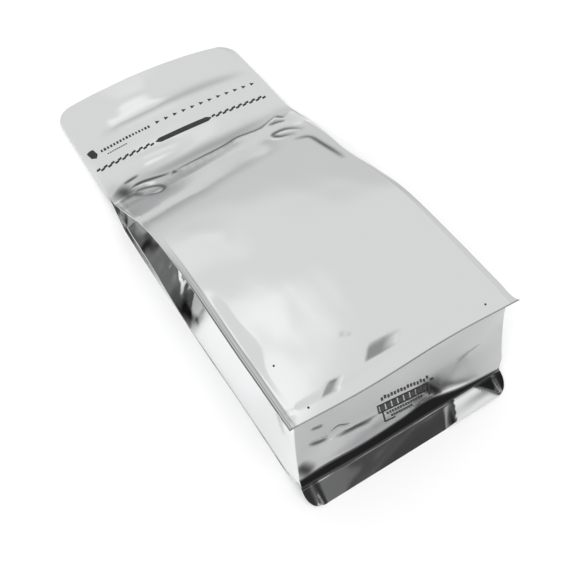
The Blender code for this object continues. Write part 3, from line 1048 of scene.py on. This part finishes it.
def toward(tree, x, y, along_x, along_y):
    """How much a direction points the way that is given in plan."""
    return math_node(tree, "ADD", both(tree, x, along_x), both(tree, y, along_y))


def with_boxes(tree, sky, front_side, azimuth, z):
    """The sky with three soft boxes: two behind the flap, one high and one low, and one high in front."""
    high_box = both(tree, between(tree, azimuth, (-0.01, 0.05), (0.42, 0.54)), map_range(tree, z, 0.79, 0.83))
    low_box = between(tree, azimuth, (0.04, 0.14), (0.28, 0.38))
    low_box = both(tree, low_box, between(tree, z, (0.42, 0.48), (0.62, 0.70)))
    front_box = both(tree, front_side, map_range(tree, z, 0.78, 0.84))
    for box, strength in ((high_box, 0.26), (low_box, 0.08), (front_box, 0.30)):
        sky = math_node(tree, "ADD", sky, both(tree, box, strength))
    return sky


def with_walls(tree, sky, front_side, x, y, z):
    """The sky with a dark wall at the back left, one in front and a dark panel overhead."""
    left_wall = map_range(tree, x, -0.62, -0.42, 1.0, 0.0)
    left_wall = both(tree, left_wall, map_range(tree, z, 0.78, 0.90, 1.0, 0.0))
    left_wall = both(tree, left_wall, map_range(tree, y, 0.36, 0.46))
    sky = both(tree, sky, map_range(tree, left_wall, 0.0, 1.0, 1.0, 0.24))
    front_wall = both(tree, front_side, map_range(tree, z, 0.68, 0.80, 1.0, 0.0))
    wall_share = map_range(tree, z, 0.40, 0.55, 0.24, 0.10)
    taken = both(tree, front_wall, math_node(tree, "SUBTRACT", 1.0, wall_share))
    sky = both(tree, sky, math_node(tree, "SUBTRACT", 1.0, taken))
    above = math_node(tree, "ADD", toward(tree, x, y, -0.12, -0.22), both(tree, z, 0.968))
    return both(tree, sky, map_range(tree, above, 0.88, 0.96, 1.0, 0.20))


def make_world():
    """The studio that the film mirrors: pale all round, a little darker low behind the flap."""
    world = bpy.data.worlds.new("studio")
    bpy.context.scene.world = world
    world.use_nodes = True
    tree = world.node_tree
    background = tree.nodes["Background"]
    place = tree.nodes.new("ShaderNodeTexCoord")
    parts = tree.nodes.new("ShaderNodeSeparateXYZ")
    tree.links.new(place.outputs["Generated"], parts.inputs[0])
    x, y, z = parts.outputs
    azimuth = math_node(tree, "ARCTAN2", x, y)
    front_side = map_range(tree, toward(tree, x, y, 0.10, -0.995), 0.30, 0.55)
    horizon = both(tree, map_range(tree, y, 0.0, 0.4), map_range(tree, z, 0.12, 0.48, 1.0, 0.0))
    sky = map_range(tree, horizon, 0.0, 1.0, 0.77, 0.64)
    sky = with_boxes(tree, sky, front_side, azimuth, z)
    sky = with_walls(tree, sky, front_side, x, y, z)
    background.inputs["Color"].default_value = (1.0, 1.0, 1.0, 1.0)
    tree.links.new(sky, background.inputs["Strength"])


def make_lights():
    """A wide soft lamp for the floor, which the film doesn't mirror."""
    light = bpy.data.lights.new("soft_lamp", "SUN")
    light.energy = 2.2
    light.angle = math.radians(60)
    lamp = bpy.data.objects.new("soft_lamp", light)
    lamp.rotation_euler = (math.radians(20), math.radians(-15), 0)
    lamp.visible_glossy = False
    bpy.context.scene.collection.objects.link(lamp)


def make_camera():
    """The view of the photograph."""
    data = bpy.data.cameras.new("camera")
    data.lens = CAMERA_LENS
    data.sensor_width = 36
    data.clip_start = 0.01
    camera = bpy.data.objects.new("camera", data)
    turn = Matrix((CAMERA_RIGHT, CAMERA_UP, CAMERA_BACK)).transposed().to_4x4()
    camera.matrix_world = Matrix.Translation(CAMERA_PLACE) @ turn
    bpy.context.scene.collection.objects.link(camera)
    bpy.context.scene.camera = camera


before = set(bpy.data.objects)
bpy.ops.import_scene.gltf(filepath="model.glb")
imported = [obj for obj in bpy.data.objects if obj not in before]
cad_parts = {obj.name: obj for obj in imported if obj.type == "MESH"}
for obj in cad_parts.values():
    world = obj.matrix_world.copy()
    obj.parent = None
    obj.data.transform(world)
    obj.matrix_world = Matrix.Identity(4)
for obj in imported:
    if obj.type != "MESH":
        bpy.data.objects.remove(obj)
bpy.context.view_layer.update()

make_camera()
bag_film = make_bag_film()
bag_film.data.materials.append(metallised_film())
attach(bag_film, "root")
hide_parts("foil_bag")

ink = black_ink()
row_tree = printed_row_tree()
for make_print in (make_flap_print, make_panel_print, make_tack_dots):
    print_piece = make_print(row_tree, bag_film, ink)
    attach(print_piece, "root")

make_floor()
make_world()
make_lights()
bpy.context.scene.view_settings.view_transform = "Standard"
